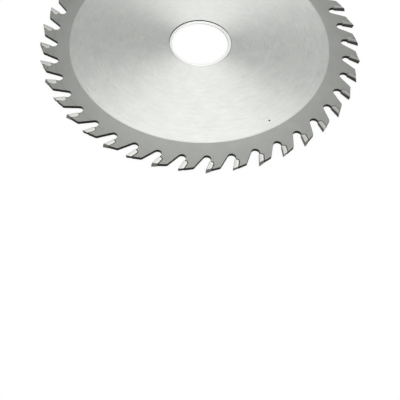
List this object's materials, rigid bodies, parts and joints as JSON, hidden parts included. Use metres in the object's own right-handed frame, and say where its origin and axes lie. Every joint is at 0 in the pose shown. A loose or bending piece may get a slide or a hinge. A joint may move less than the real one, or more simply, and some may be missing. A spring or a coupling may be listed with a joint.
{
  "type": "tct circular saw blade",
  "caption": "Thin round steel saw blade with a toothed rim, brazed carbide cutting tips ground to alternate bevels, and a reducing ring in its arbor hole.",
  "frame": {"origin": "on the bore's axis, half way through the plate's thickness", "axes": "+Z along the bore's axis, out of the face that shows; the teeth cut clockwise seen from +Z; +X through the point of the first tooth"},
  "size_m": [0.115, 0.115, 0.0018],
  "materials": {
    "plate_steel": "hardened plate, polished round the centre with concentric marks, blasted matte at the rim",
    "carbide": "fine diamond-ground tungsten carbide",
    "ring_steel": "bright turned steel"
  },
  "bodies": {
    "root": {"blade_plate": "plate_steel", "carbide_tip_01": "carbide", "carbide_tip_02": "carbide", "carbide_tip_03": "carbide", "carbide_tip_04": "carbide", "carbide_tip_05": "carbide", "carbide_tip_06": "carbide", "carbide_tip_07": "carbide", "carbide_tip_08": "carbide", "carbide_tip_09": "carbide", "carbide_tip_10": "carbide", "carbide_tip_11": "carbide", "carbide_tip_12": "carbide", "carbide_tip_13": "carbide", "carbide_tip_14": "carbide", "carbide_tip_15": "carbide", "carbide_tip_16": "carbide", "carbide_tip_17": "carbide", "carbide_tip_18": "carbide", "carbide_tip_19": "carbide", "carbide_tip_20": "carbide", "carbide_tip_21": "carbide", "carbide_tip_22": "carbide", "carbide_tip_23": "carbide", "carbide_tip_24": "carbide", "carbide_tip_25": "carbide", "carbide_tip_26": "carbide", "carbide_tip_27": "carbide", "carbide_tip_28": "carbide", "carbide_tip_29": "carbide", "carbide_tip_30": "carbide", "carbide_tip_31": "carbide", "carbide_tip_32": "carbide", "carbide_tip_33": "carbide", "carbide_tip_34": "carbide", "carbide_tip_35": "carbide", "carbide_tip_36": "carbide", "carbide_tip_37": "carbide", "carbide_tip_38": "carbide", "carbide_tip_39": "carbide", "carbide_tip_40": "carbide", "reducing_ring": "ring_steel"}
  },
  "joints": []
}
